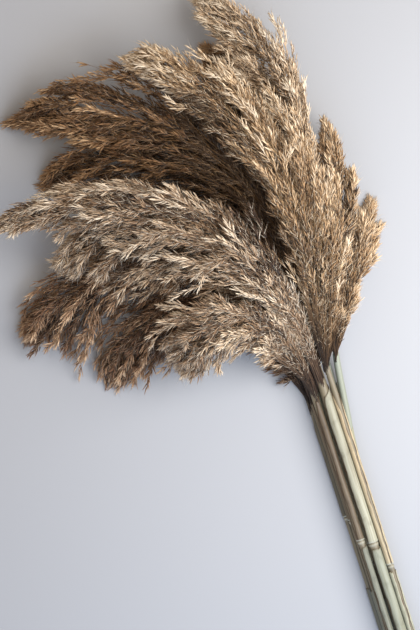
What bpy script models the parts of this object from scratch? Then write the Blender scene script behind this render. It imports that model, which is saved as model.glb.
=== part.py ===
"""A bunch of twelve cut and dried pampas reeds, lying on a table.

Frame: +Z up with the table at Z = 0, the stems along Y with their cut ends
towards -Y, and the origin on the table under the middle of the bunch.

Each reed is four pieces: a culm (the jointed stem), an upper and a lower leaf
sheath that wrap it above a joint, and a plume. The stems lie stacked in three
rows, five on the table, four on those and three on top, and the plumes fan out
from the neck and bow over to the side, still lying row on row.

All sizes are millimetres until `metres` turns them into Blender's metres.
"""

import math
from dataclasses import dataclass

import bmesh
import bpy
from mathutils import Vector

MM = 0.001

# The neck is where the plumes start. Every other place is counted from it.
NECK_X, NECK_Y = 57.75, 18.63

# Heights of the rows of stems, and of the plumes' middles once they have
# swelled to their full depth at SWELL from the neck.
STEM_ROW_Z = (2.45, 6.9, 13.6)
PLUME_ROW_Z = (14.25, 44.4, 74.8)
STEM_ROW_DEPTH = 2.2
PLUME_ROW_DEPTH = (14.2, 14.5, 14.5)
SWELL = 112.0

SHEATH_WALL = 0.45
SHEATH_GAP = 0.3
SHEATH_SLIT = math.radians(32)
JOINT_BULGE = 0.45
JOINT_HALF_LENGTH = 1.1
BARE_INSET = 0.2
BARE_SWELL = 0.3
LONG_NECK = 40.0
BORE_SHARE = 0.6
BORE_DEPTH = 34.0
BUNDLE_BOW = -1.5
STEM_LENGTH = 320.0
FAN_START = -110.0
FAN_POWER = 1.5

PLUME_SIDES = 14
PLUME_STATIONS = 14
PLUME_DEPTH_SHARE = 0.62
PLUME_WIDEST = 0.52
PLUME_TIP = 1.2
PLUME_GAP = 0.4
ROOM_GAP = 0.8
OPEN_ROOM = 45.0

STRAW = (0.50, 0.36, 0.22)
GREEN_GREY = (0.44, 0.47, 0.36)
CREAM = (0.66, 0.60, 0.42)


@dataclass(frozen=True)
class Reed:
    """One reed, in millimetres and degrees. Headings turn from +Y towards +X.

    row and across place its stem in the bundle, fan is how far it has bent
    aside at Y = 0, and radius is the outside of its sheaths. foot, joints and neck are places along Y: the cut end, the
    lower and upper joint, and where the plume starts. lower_top and upper_top
    are the upper ends of the two sheaths. lift and lean say how far and which
    way the plume runs on from the stem, run and heading how far and which way
    it ends, and tip is its far end. breadth is its largest reach to the left
    and to the right of its midline, droop is how far its tip hangs below its
    row, slit is the side on which its sheaths are open, and taper is how
    pointed the plume is: more than 1 is slim, less is blunt.
    """

    number: int
    row: int
    across: float
    fan: float
    radius: float
    foot: float
    joints: tuple
    lower_top: float
    upper_top: float
    neck: float
    lift: float
    lean: float
    run: float
    heading: float
    tip: tuple
    breadth: tuple
    droop: float
    slit: float
    taper: float


REEDS = (
    Reed(1, 2, -8.6, 0, 3.05, -318, (-246, -116), -118.5, -6, 1, 76, -4, 40, -140, (-90, 42), (24, 44), 34, 40, 0.6),
    Reed(2, 2, -0.6, 0, 4.1, -324, (-262, -120), -122.5, -2, 5, 90, -1, 128, -92, (-182, 178), (31, 26), 10, 20, 0.8),
    Reed(3, 2, 6.5, 0, 2.85, -309, (-250, -139), -141.5, -1, 14, 80, 6, 122, -55, (-58, 256), (15, 35), 8, 110, 0.45),
    Reed(4, 1, -10.4, 0, 2.4, -313, (-252, -101), -152.0, -9, -2, 124, 12, 62, -112, (-150, 143), (32, 32), 0, 250, 0.7),
    Reed(5, 1, -5.4, 0, 2.4, -322, (-233, -134), -160.0, -3, 4, 205, 12, 66, -78, (-152, 249), (34, 46), 22, 300, 1.2),
    Reed(6, 1, -0.4, 0, 2.4, -305, (-256, -108), -137.0, -1, 12, 104, 10, 118, -40, (2, 286), (42, 20), 6, 20, 0.6),
    Reed(7, 1, 4.5, 9, 2.2, -316, (-243, -118), -130.0, -35, 20, 54, 18, 60, 4, (58, 173), (26, 18), 4, 330, 1.0),
    Reed(8, 0, -12.9, 0, 2.45, -302, (-230, -98), -150.0, -19, -6, 66, 12, 98, -136, (-140, 54), (28, 44), 0, 280, 0.5),
    Reed(9, 0, -7.95, 0, 2.4, -320, (-260, -126), -170.0, -7, 0, 150, 8, 60, -120, (-188, 104), (46, 32), 0, 160, 0.55),
    Reed(10, 0, -3.0, 0, 2.4, -310, (-241, -112), -139.0, -1, 8, 158, 13, 76, -100, (-142, 200), (36, 42), 0, 90, 0.7),
    Reed(11, 0, 1.95, 0, 2.4, -317, (-250, -146), -176.0, -1, 16, 126, 14, 70, -36, (-2, 254), (38, 26), 0, 60, 0.6),
    Reed(12, 0, 6.9, 2, 2.2, -307, (-236, -142), -145.0, -1, 22, 46, 18, 44, 24, (72, 110), (26, 11), 0, 350, 0.9),
)


def metres(x, y, z):
    """A place counted from the neck, in millimetres, as Blender's metres."""
    return Vector((x + NECK_X, y + NECK_Y, z)) * MM


def mix(a, b, t):
    return a + (b - a) * t


def swelling(reach):
    """0 at the neck, 1 where the plumes have their full depth, and smooth."""
    t = min(max(reach / SWELL, 0.0), 1.0)
    return t * t * (3 - 2 * t)


def row_height(row, reach):
    return mix(STEM_ROW_Z[row], PLUME_ROW_Z[row], swelling(reach))


def row_depth(row, reach):
    return mix(STEM_ROW_DEPTH, PLUME_ROW_DEPTH[row], swelling(reach))


def ahead(length, heading):
    """A step in plan along a heading."""
    angle = math.radians(heading)
    return Vector((length * math.sin(angle), length * math.cos(angle)))


def plume_line(reed, share):
    """The plume's midline in plan: a cubic that leaves along lean and ends along heading."""
    start = stem_place(reed, reed.neck).to_2d()
    tip = Vector(reed.tip)
    leaves = start + ahead(reed.lift, reed.lean)
    arrives = tip - ahead(reed.run, reed.heading)
    rest = 1 - share
    return (
        start * rest**3
        + leaves * 3 * rest * rest * share
        + arrives * 3 * rest * share * share
        + tip * share**3
    )


def stem_place(reed, y):
    """The stem's midline at y, with the whole bundle's slight bow and the reed's own fan."""
    bow = BUNDLE_BOW * (min(y, 0.0) / STEM_LENGTH) ** 2
    aside = reed.fan * max(1 - y / FAN_START, 0.0) ** FAN_POWER
    return Vector((reed.across + bow + aside, y, row_height(reed.row, max(y, 0.0))))


def neighbour_places(reed):
    """Points in plan along the other reeds of the same row, stems and plumes."""
    places = []
    for other in REEDS:
        if other.row != reed.row or other is reed:
            continue
        places += [plume_line(other, i / 60) for i in range(61)]
        places += [stem_place(other, other.neck - 2.0 * i).to_2d() for i in range(20)]
    return places


def room_beside(here, side, places):
    """How far a section at here can reach along side and keep to its half of the room."""
    beside = [place - here for place in places if (place - here).dot(side) > 0]
    return min((step.length for step in beside), default=2 * OPEN_ROOM) / 2 - ROOM_GAP


def swell_profile(share, taper):
    """Half-width along a plume as a share of its breadth: a long rise, then a taper."""
    if share < PLUME_WIDEST:
        return math.sin(0.5 * math.pi * share / PLUME_WIDEST) ** 0.9
    return math.cos(0.5 * math.pi * (share - PLUME_WIDEST) / (1 - PLUME_WIDEST)) ** taper


def collection(name, hidden=False):
    made = bpy.data.collections.new(name)
    made.hide_render = hidden
    bpy.context.scene.collection.children.link(made)
    return made


def material(name, colour, roughness):
    made = bpy.data.materials.new(name)
    made.use_nodes = True
    shader = made.node_tree.nodes["Principled BSDF"]
    shader.inputs["Base Color"].default_value = (*colour, 1.0)
    shader.inputs["Roughness"].default_value = roughness
    shader.inputs["Metallic"].default_value = 0.0
    return made


def add(name, data, group, finish=None):
    made = bpy.data.objects.new(name, data)
    group.objects.link(made)
    if finish:
        data.materials.append(finish)
    return made


def as_guide(obj):
    obj.hide_render = True
    obj.display_type = "WIRE"


def open_line(name, places, radii):
    """A curve of straight stretches through places, with a radius in millimetres at each."""
    data = bpy.data.curves.new(name, "CURVE")
    data.dimensions = "3D"
    data.twist_mode = "Z_UP"
    spline = data.splines.new("POLY")
    spline.points.add(len(places) - 1)
    for point, place, radius in zip(spline.points, places, radii):
        point.co = (*metres(*place), 1.0)
        point.radius = radius
    return data


def mesh_of(curve, group):
    """The curve's tube as a closed mesh object, in place of the curve."""
    bpy.context.view_layer.update()
    shown = curve.evaluated_get(bpy.context.evaluated_depsgraph_get())
    mesh = bpy.data.meshes.new_from_object(shown)
    shell = bmesh.new()
    shell.from_mesh(mesh)
    bmesh.ops.remove_doubles(shell, verts=shell.verts, dist=1e-6)
    bmesh.ops.recalc_face_normals(shell, faces=shell.faces)
    shell.to_mesh(mesh)
    shell.free()
    made = bpy.data.objects.new(curve.name, mesh)
    made.matrix_world = curve.matrix_world
    name = curve.name
    bpy.data.objects.remove(curve)
    made.name = name
    group.objects.link(made)
    return made


def culm_stations(reed):
    """(y, radius) from the cut end up: stout where it is bare, slim under the sheaths."""
    slim = reed.radius - SHEATH_WALL - SHEATH_GAP
    stout = reed.radius - BARE_INSET
    lower, upper = reed.joints
    half = JOINT_HALF_LENGTH
    shows = reed.neck - reed.upper_top > LONG_NECK
    neck = reed.radius + BARE_SWELL if shows else slim
    top = reed.neck - PLUME_GAP - neck * math.sin(math.radians(abs(reed.lean)))
    stations = [
        (reed.foot, stout),
        (lower - half, stout),
        (lower, slim + JOINT_BULGE),
        (lower + half, slim),
        (mix(lower, upper, 0.5), slim),
        (upper - half, slim),
        (upper, slim + JOINT_BULGE),
        (upper + half, slim),
    ]
    steps = 8 if reed.fan else 2
    stations += [(mix(upper, reed.upper_top, i / steps), slim) for i in range(1, steps)]
    if shows:
        stations += [(reed.upper_top + 0.6, slim), (reed.upper_top + 2.6, neck)]
    stations.append((min(top, -1.0), neck))
    if top > 0:
        stations += [(mix(-1.0, top, 0.5), neck), (top, neck * 0.92)]
    return stations


def build_culm(reed, group, cutters, finish):
    stations = culm_stations(reed)
    places = [stem_place(reed, y) for y, _ in stations]
    data = open_line(f"culm_{reed.number:02d}", places, [r for _, r in stations])
    data.bevel_depth = MM
    data.bevel_resolution = 2
    data.use_fill_caps = True
    culm = mesh_of(add(data.name, data, group), group)
    culm.data.materials.append(finish)
    culm.data.shade_smooth()
    culm.data.set_sharp_from_angle(angle=math.radians(50))

    bore_radius = stations[0][1] * BORE_SHARE
    bore_depth = BORE_DEPTH + 3 * (reed.number % 4)
    ends = [stem_place(reed, reed.foot - 2), stem_place(reed, reed.foot + bore_depth)]
    bore = open_line(f"bore_cutter_{reed.number:02d}", ends, [bore_radius] * 2)
    bore.bevel_depth = MM
    bore.bevel_resolution = 2
    bore.use_fill_caps = True
    cutter = mesh_of(add(bore.name, bore, cutters), cutters)
    as_guide(cutter)
    cut = culm.modifiers.new("hollow", "BOOLEAN")
    cut.operation = "DIFFERENCE"
    cut.object = cutter
    return culm


def arc_profile(group):
    """An open arc one millimetre in radius, with the sheath's slit left out."""
    data = bpy.data.curves.new("sheath_profile", "CURVE")
    data.dimensions = "2D"
    spline = data.splines.new("POLY")
    steps = 9
    spline.points.add(steps)
    for i, point in enumerate(spline.points):
        angle = mix(2 * math.pi - SHEATH_SLIT / 2, SHEATH_SLIT / 2, i / steps)
        point.co = (MM * math.cos(angle), MM * math.sin(angle), 0.0, 1.0)
    made = add("sheath_profile", data, group)
    as_guide(made)
    return made


def build_sheath(name, reed, low, high, profile, group, finish):
    """A leaf sheath: an open arc carried along the stem, then given its wall."""
    inner = reed.radius - SHEATH_WALL
    count = 9 if reed.fan else 4
    heights = [mix(low, high, i / (count - 1)) for i in range(count)]
    places = [stem_place(reed, y) for y in heights]
    data = open_line(name, places, [inner] * count)
    data.bevel_mode = "OBJECT"
    data.bevel_object = profile
    for point in data.splines[0].points:
        point.tilt = math.radians(reed.slit)
    sheath = add(name, data, group, finish)
    wall = sheath.modifiers.new("wall", "SOLIDIFY")
    wall.thickness = SHEATH_WALL * MM
    wall.offset = 1.0
    return sheath


def plume_reach(reed, share, here, side, widest, neighbours):
    """How far a section reaches to one side of the plume's midline."""
    room = min(room_beside(here, side, neighbours), OPEN_ROOM)
    start = min(reed.radius - SHEATH_WALL, room)
    wanted = mix(PLUME_TIP, widest, swell_profile(share, reed.taper))
    return max(min(wanted, room), start * (1 - share) ** 4)


def plume_ring(reed, share, neighbours):
    """The section of a plume at a share of its length, draped over the rows beneath.

    Its reach to each side follows the plume's profile but keeps to half of the
    room to its neighbours, and each point takes the height of its row there.
    """
    here = plume_line(reed, share)
    step = plume_line(reed, min(share + 0.01, 1.0)) - plume_line(reed, max(share - 0.01, 0.0))
    side = Vector((step.y, -step.x)).normalized()
    left = plume_reach(reed, share, here, -side, reed.breadth[0], neighbours)
    right = plume_reach(reed, share, here, side, reed.breadth[1], neighbours)
    wanted_depth = max(PLUME_DEPTH_SHARE * (left + right) / 2, PLUME_TIP)
    ring = []
    for i in range(PLUME_SIDES):
        turn = 2 * math.pi * i / PLUME_SIDES
        reach = right if math.cos(turn) > 0 else left
        plan = here + side * reach * math.cos(turn)
        room = row_depth(reed.row, plan.length)
        depth = min(room, wanted_depth)
        sag = reed.droop * share**4 + room - depth
        height = row_height(reed.row, plan.length) - sag + depth * math.sin(turn)
        ring.append(metres(plan.x, plan.y, height))
    return ring


def build_plume(reed, group, finish):
    """The soft mass of one plume, lofted through its sections."""
    neighbours = neighbour_places(reed)
    name = f"plume_{reed.number:02d}"
    shell = bmesh.new()
    rings = []
    for i in range(PLUME_STATIONS + 1):
        ring = plume_ring(reed, i / PLUME_STATIONS, neighbours)
        rings.append([shell.verts.new(place) for place in ring])
    for lower, upper in zip(rings, rings[1:]):
        for i in range(PLUME_SIDES):
            j = (i + 1) % PLUME_SIDES
            shell.faces.new((lower[i], lower[j], upper[j], upper[i]))
    shell.faces.new(reversed(rings[0]))
    shell.faces.new(rings[-1])
    bmesh.ops.recalc_face_normals(shell, faces=shell.faces)
    mesh = bpy.data.meshes.new(name)
    shell.to_mesh(mesh)
    shell.free()
    mesh.shade_smooth()
    return add(name, mesh, group, finish)


def clear_scene():
    for obj in list(bpy.data.objects):
        bpy.data.objects.remove(obj)


def main():
    clear_scene()
    bunch = collection("pampas_bunch")
    helpers = collection("cutters_and_guides", hidden=True)
    fluff = material("plume_fluff", STRAW, 0.9)
    stem_skin = material("stem_skin", GREEN_GREY, 0.55)
    dry_leaf = material("dry_leaf", CREAM, 0.65)
    profile = arc_profile(helpers)
    for reed in REEDS:
        lower, upper = reed.joints
        build_culm(reed, bunch, helpers, stem_skin)
        build_sheath(
            f"lower_sheath_{reed.number:02d}", reed, lower + 1.6, reed.lower_top, profile, bunch, dry_leaf
        )
        build_sheath(
            f"upper_sheath_{reed.number:02d}", reed, upper + 1.6, reed.upper_top, profile, bunch, dry_leaf
        )
        build_plume(reed, bunch, fluff)


main()
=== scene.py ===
import logging
import math
from dataclasses import dataclass, field
from enum import Enum

import bpy
import numpy as np
from mathutils import Matrix, Vector


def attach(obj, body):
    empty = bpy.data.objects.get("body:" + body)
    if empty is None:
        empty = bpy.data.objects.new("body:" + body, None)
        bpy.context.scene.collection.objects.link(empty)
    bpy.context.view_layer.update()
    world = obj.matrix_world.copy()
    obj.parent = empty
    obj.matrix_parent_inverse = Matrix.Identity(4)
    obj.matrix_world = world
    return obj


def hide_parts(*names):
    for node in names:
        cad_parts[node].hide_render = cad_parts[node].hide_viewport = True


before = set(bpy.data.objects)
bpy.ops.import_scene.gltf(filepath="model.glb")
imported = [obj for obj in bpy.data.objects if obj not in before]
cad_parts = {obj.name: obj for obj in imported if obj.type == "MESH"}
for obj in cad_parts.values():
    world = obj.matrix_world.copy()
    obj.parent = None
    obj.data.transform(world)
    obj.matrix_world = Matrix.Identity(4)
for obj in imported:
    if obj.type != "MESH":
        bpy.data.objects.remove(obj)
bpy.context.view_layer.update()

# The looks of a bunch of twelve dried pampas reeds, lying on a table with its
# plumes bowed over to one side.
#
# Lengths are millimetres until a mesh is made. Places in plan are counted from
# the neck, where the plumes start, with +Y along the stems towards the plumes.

log = logging.getLogger("pampas")

Array = np.ndarray
Socket = bpy.types.NodeSocket
Place = Colour = tuple[float, float, float]

MM = 0.001
NECK = np.array([57.75, 18.63, 0.0])
STEM_ROW_Z = (2.45, 6.9, 13.6)
PLUME_ROW_Z = (14.25, 44.4, 74.8)
STEM_ROW_DEPTH = 2.2
PLUME_ROW_DEPTH = (14.2, 14.5, 14.5)
SWELL = 112.0
PLUME_WIDEST = 0.52
PLUME_TIP = 1.2
PLUME_DEPTH_SHARE = 0.62
ROOM_GAP = 0.8
OPEN_ROOM = 45.0
SHEATH_WALL = 0.45
BUNDLE_BOW = -1.5
STEM_LENGTH = 320.0
FAN_START = -110.0
FAN_POWER = 1.5
GOLDEN = math.pi * (3 - math.sqrt(5))
LOWEST = 0.9
NEARLY_UP = np.array([0.013, 0.021, 1.0])
BAKE_MAP = "OFBake"


class Row(Enum):
    """The three rows that the reeds lie in, from the table up."""

    TABLE = 0
    MIDDLE = 1
    TOP = 2


@dataclass(frozen=True)
class Reed:
    """Where one reed lies, in millimetres and degrees turned from +Y towards +X."""

    number: int
    row: Row
    across: float
    fan: float
    radius: float
    foot: float
    joints: tuple[float, float]
    lower_top: float
    upper_top: float
    neck: float
    lift: float
    lean: float
    run: float
    heading: float
    tip: tuple[float, float]
    breadth: tuple[float, float]
    droop: float
    slit: float
    taper: float


TABLE, MIDDLE, TOP = Row

REEDS = (
    Reed(
        1, TOP, -8.6, 0, 3.05, -318, (-246, -116),
        -118.5, -6, 1, 76, -4, 40, -140, (-90, 42), (24, 44), 34, 40, 0.6,
    ),
    Reed(
        2, TOP, -0.6, 0, 4.1, -324, (-262, -120),
        -122.5, -2, 5, 90, -1, 128, -92, (-182, 178), (31, 26), 10, 20, 0.8,
    ),
    Reed(
        3, TOP, 6.5, 0, 2.85, -309, (-250, -139),
        -141.5, -1, 14, 80, 6, 122, -55, (-58, 256), (15, 35), 8, 110, 0.45,
    ),
    Reed(
        4, MIDDLE, -10.4, 0, 2.4, -313, (-252, -101),
        -152.0, -9, -2, 124, 12, 62, -112, (-150, 143), (32, 32), 0, 250, 0.7,
    ),
    Reed(
        5, MIDDLE, -5.4, 0, 2.4, -322, (-233, -134),
        -160.0, -3, 4, 205, 12, 66, -78, (-152, 249), (34, 46), 22, 300, 1.2,
    ),
    Reed(
        6, MIDDLE, -0.4, 0, 2.4, -305, (-256, -108),
        -137.0, -1, 12, 104, 10, 118, -40, (2, 286), (42, 20), 6, 20, 0.6,
    ),
    Reed(
        7, MIDDLE, 4.5, 9, 2.2, -316, (-243, -118),
        -130.0, -35, 20, 54, 18, 60, 4, (58, 173), (26, 18), 4, 330, 1.0,
    ),
    Reed(
        8, TABLE, -12.9, 0, 2.45, -302, (-230, -98),
        -150.0, -19, -6, 66, 12, 98, -136, (-140, 54), (28, 44), 0, 280, 0.5,
    ),
    Reed(
        9, TABLE, -7.95, 0, 2.4, -320, (-260, -126),
        -170.0, -7, 0, 150, 8, 60, -120, (-188, 104), (46, 32), 0, 160, 0.55,
    ),
    Reed(
        10, TABLE, -3.0, 0, 2.4, -310, (-241, -112),
        -139.0, -1, 8, 158, 13, 76, -100, (-142, 200), (36, 42), 0, 90, 0.7,
    ),
    Reed(
        11, TABLE, 1.95, 0, 2.4, -317, (-250, -146),
        -176.0, -1, 16, 126, 14, 70, -36, (-2, 254), (38, 26), 0, 60, 0.6,
    ),
    Reed(
        12, TABLE, 6.9, 2, 2.2, -307, (-236, -142),
        -145.0, -1, 22, 46, 18, 44, 24, (72, 110), (26, 11), 0, 350, 0.9,
    ),
)


def unit(vectors: Array) -> Array:
    """Each vector divided by its length.

    Args:
        vectors: any array whose last axis holds the vectors.

    Returns:
        An array of the same shape.
    """
    return vectors / np.maximum(np.linalg.norm(vectors, axis=-1, keepdims=True), 1e-12)


def around(along: Array, turn: Array) -> Array:
    """Unit vectors square to directions: cosine times a level one plus sine times an upright one.

    Level, upright and along make a right-handed frame, so that a ring which
    turns from level to upright faces outwards.

    Args:
        along: (..., 3) unit directions.
        turn: (...) angles from level.

    Returns:
        (..., 3) vectors.
    """
    level = unit(np.cross(NEARLY_UP, along))
    upright = np.cross(along, level)
    return level * np.cos(turn)[..., None] + upright * np.sin(turn)[..., None]


def smooth_step(t: Array) -> Array:
    """3t^2 - 2t^3, held at 0 below 0 and at 1 above 1."""
    t = np.clip(t, 0.0, 1.0)
    return t * t * (3 - 2 * t)


def lifted(places: Array, least: float) -> Array:
    """The same places, with none lower than the least height."""
    places[..., 2] = np.maximum(places[..., 2], least)
    return places


def heading_step(length: float, heading: float) -> Array:
    """A step in plan: length times (sine, cosine) of the heading."""
    angle = math.radians(heading)
    return length * np.array([math.sin(angle), math.cos(angle)])


def swelling(distance: Array) -> Array:
    """0 at the neck and 1 from SWELL on, along the smooth step."""
    return smooth_step(distance / SWELL)


def row_height(row: Row, distance: Array) -> Array:
    """Height of a row's middle at a distance from the neck."""
    low, high = STEM_ROW_Z[row.value], PLUME_ROW_Z[row.value]
    return low + (high - low) * swelling(distance)


def row_depth(row: Row, distance: Array) -> Array:
    """Half of the height that a row has for itself at a distance from the neck."""
    high = PLUME_ROW_DEPTH[row.value]
    return STEM_ROW_DEPTH + (high - STEM_ROW_DEPTH) * swelling(distance)


def plume_line(reed: Reed, share: Array) -> Array:
    """The plume's midline in plan: the cubic Bezier with ends neck and tip.

    Args:
        reed: whose plume.
        share: (N,) places along it, 0 at the neck and 1 at the tip.

    Returns:
        (N, 2) places.
    """
    start = stem_line(reed, np.array([float(reed.neck)]))[0, :2]
    tip = np.array(reed.tip, float)
    leaves = start + heading_step(reed.lift, reed.lean)
    arrives = tip - heading_step(reed.run, reed.heading)
    t = np.asarray(share, float)[..., None]
    r = 1 - t
    return start * r**3 + leaves * 3 * r**2 * t + arrives * 3 * r * t**2 + tip * t**3


def stem_line(reed: Reed, y: Array) -> Array:
    """The stem's midline: along Y, with the bundle's square-law bow and the reed's own fan.

    Args:
        reed: whose stem.
        y: (N,) places along Y.

    Returns:
        (N, 3) places.
    """
    bow = BUNDLE_BOW * (np.minimum(y, 0.0) / STEM_LENGTH) ** 2
    height = row_height(reed.row, np.maximum(y, 0.0))
    aside = reed.fan * np.maximum(1 - y / FAN_START, 0.0) ** FAN_POWER
    return np.stack([reed.across + bow + aside, y, height], axis=-1)


# ---------------------------------------------------------------- meshes


@dataclass
class Loft:
    """Closed forms, each a stack of rings with a point at either end.

    A form's surface is a function of two parameters: the side, which runs
    round a ring, and the length, which runs from ring to ring.

    Attributes:
        rings: (forms, rings, sides, 3) places.
        ends: (forms, 2, 3) the closing points before the first and after the last ring,
            or None where each end is a strip between the ring's two halves.
        side_map: (forms, 2) the first and last value of the map's u round a ring.
        length_map: (rings + 2,) the map's v at the first point, each ring and the last point.
    """

    rings: Array
    ends: Array | None
    side_map: Array
    length_map: Array

    def arrays(self) -> tuple[Array, Array, Array, Array, Array]:
        """Joins each ring to the next, and the outer rings to their ends.

        Returns:
            Points, quads, quad corners' map places, triangles and triangle
            corners' map places.
        """
        forms, count, sides = self.rings.shape[:3]
        points = self.rings.reshape(forms, -1, 3)
        if self.ends is not None:
            points = np.concatenate([points, self.ends], axis=1)
        start = np.arange(forms)[:, None, None] * points.shape[1]
        v = self.length_map

        r, s = np.divmod(np.arange((count - 1) * sides), sides)
        after, low, high = (s + 1) % sides, r * sides, (r + 1) * sides
        quads = np.stack([low + s, low + after, high + after, high + s], -1)
        quad_side = np.stack([s, s + 1, s + 1, s], -1)
        quad_v = np.stack([v[r + 1], v[r + 1], v[r + 2], v[r + 2]], -1)

        last = (count - 1) * sides
        if self.ends is None:
            k = np.arange(sides // 2 - 1)
            far, near = sides - 2 - k, sides - 1 - k
            strip_side = np.stack([k, k + 1, k + 1, k], -1)
            first = np.stack([k, near, far, k + 1], -1)
            final = last + np.stack([k, k + 1, far, near], -1)
            quads = np.concatenate([quads, first, final])
            quad_side = np.concatenate([quad_side, strip_side[:, [0, 3, 2, 1]], strip_side])
            rows = [[v[1], v[0], v[0], v[1]], [v[-2], v[-2], v[-1], v[-1]]]
            quad_v = np.concatenate([quad_v, np.repeat(rows, len(k), axis=0)])
            tris, tri_side, tri_v = np.empty((0, 3), int), np.empty((0, 3)), np.empty((0, 3))
        else:
            side = np.arange(sides)
            beyond = (side + 1) % sides
            first = np.stack([np.full(sides, count * sides), beyond, side], -1)
            final = np.stack([np.full(sides, count * sides + 1), last + side, last + beyond], -1)
            tris = np.concatenate([first, final])
            middle = side + 0.5
            tri_side = np.concatenate(
                [np.stack([middle, side + 1, side], -1), np.stack([middle, side, side + 1], -1)]
            )
            tri_v = np.repeat([[v[0], v[1], v[1]], [v[-1], v[-2], v[-2]]], sides, axis=0)

        quad_map = self.map_of(quad_side / sides, quad_v)
        tri_map = self.map_of(tri_side / sides, tri_v)
        quads, tris = (start + quads).reshape(-1, 4), (start + tris).reshape(-1, 3)
        return points.reshape(-1, 3), quads, quad_map, tris, tri_map

    def map_of(self, round_share: Array, v: Array) -> Array:
        """The map's places of one form's corners, for every form.

        Args:
            round_share: (faces, corners) how far round the ring, 0 to 1.
            v: (faces, corners) the map's v.

        Returns:
            (forms * faces, corners, 2) map places.
        """
        low, high = self.side_map[:, 0, None, None], self.side_map[:, 1, None, None]
        u = low + (high - low) * round_share[None]
        return np.stack([u, np.broadcast_to(v, u.shape)], -1).reshape(-1, v.shape[1], 2)


def linked(name: str, data: bpy.types.ID) -> bpy.types.Object:
    """Makes an object that holds the data and puts it in the scene.

    Args:
        name: the object's name.
        data: its mesh, lamp or camera.

    Returns:
        The object.
    """
    made = bpy.data.objects.new(name, data)
    bpy.context.scene.collection.objects.link(made)
    return made


def object_from(name: str, lofts: list[Loft], finish: bpy.types.Material) -> bpy.types.Object:
    """One object from several lofts, placed in metres, with its bake map and finish.

    Args:
        name: the object's name.
        lofts: what it is made of, in millimetres from the neck.
        finish: its material.

    Returns:
        The new object, at the origin.
    """
    points, faces, maps, base = [], [[], []], [[], []], 0
    for loft in lofts:
        p, quads, quad_map, tris, tri_map = loft.arrays()
        points.append(p)
        for kind, (f, m) in enumerate(((quads, quad_map), (tris, tri_map))):
            faces[kind].append(f + base)
            maps[kind].append(m)
        base += len(p)
    quads, tris = (np.concatenate(f) for f in faces)
    corner_map = np.concatenate([np.concatenate(m).reshape(-1, 2) for m in maps])
    places = (np.concatenate(points) + NECK) * MM

    mesh = bpy.data.meshes.new(name)
    mesh.vertices.add(len(places))
    mesh.vertices.foreach_set("co", places.astype(np.float32).ravel())
    corners = np.concatenate([quads.ravel(), tris.ravel()]).astype(np.int32)
    starts = [np.arange(len(quads)) * 4, len(quads) * 4 + np.arange(len(tris)) * 3]
    starts = np.concatenate(starts).astype(np.int32)
    mesh.loops.add(len(corners))
    mesh.loops.foreach_set("vertex_index", corners)
    mesh.polygons.add(len(starts))
    mesh.polygons.foreach_set("loop_start", starts)
    mesh.polygons.foreach_set("use_smooth", np.ones(len(starts), bool))
    layer = mesh.uv_layers.new(name=BAKE_MAP)
    layer.data.foreach_set("uv", corner_map.astype(np.float32).ravel())
    mesh.update(calc_edges=True)
    mesh.validate()
    mesh.materials.append(finish)
    log.info("%s: %d points, %d faces", name, len(places), len(starts))
    return linked(name, mesh)


def tubes(paths: Array, radii: Array, sides: int, side_map: Array) -> Loft:
    """Round tubes carried along paths.

    A point of the surface is the path's point plus the radius there times
    (cosine, sine) of the side's angle in the plane square to the path.

    Args:
        paths: (forms, points, 3).
        radii: (forms, points).
        sides: how many sides each tube has.
        side_map: (forms, 2) the map's u range of each tube.

    Returns:
        The closed tubes.
    """
    along = unit(np.gradient(paths, axis=1))
    turn = 2 * np.pi * np.arange(sides) / sides
    rings = paths[:, :, None] + radii[:, :, None, None] * around(along[:, :, None], turn)
    first = paths[:, 0] - along[:, 0] * radii[:, :1] * 0.5
    last = paths[:, -1] + along[:, -1] * radii[:, -1:]
    length_map = np.concatenate([[0.0], np.linspace(0.02, 0.98, paths.shape[1]), [1.0]])
    return Loft(rings, np.stack([first, last], 1), side_map, length_map)


def spindles(
    base: Array, along: Array, bend: Array, width: Array, profile: Array, tint: Array
) -> Loft:
    """Slim three-sided forms, pointed at both ends.

    At v the axis is base + v * along + 4 * v * (1 - v) * bend, and each ring
    of the profile stands round it at its share of the width.

    Args:
        base: (forms, 3) where each starts.
        along: (forms, 3) from its start to its tip.
        bend: (forms, 3) how far its middle stands off the straight line.
        width: (forms,) the largest radius.
        profile: (rings, 2) pairs of v and share of the width.
        tint: (forms,) place across the palette.

    Returns:
        The closed forms.
    """
    v = profile[:, 0][None, :, None]
    axis = base[:, None] + along[:, None] * v + bend[:, None] * 4 * v * (1 - v)
    turn = 2 * np.pi * (np.arange(3) / 3)[None] + tint[:, None] * 40
    size = width[:, None] * profile[:, 1][None]
    ways = around(unit(along)[:, None], turn)
    rings = axis[:, :, None] + size[:, :, None, None] * ways[:, None]
    side_map = np.stack([tint - 0.012, tint + 0.012], axis=-1)
    length_map = np.concatenate([[0.0], profile[:, 0], [1.0]])
    return Loft(rings, np.stack([base, base + along], axis=1), side_map, length_map)


# ---------------------------------------------------------------- finishes

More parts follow.
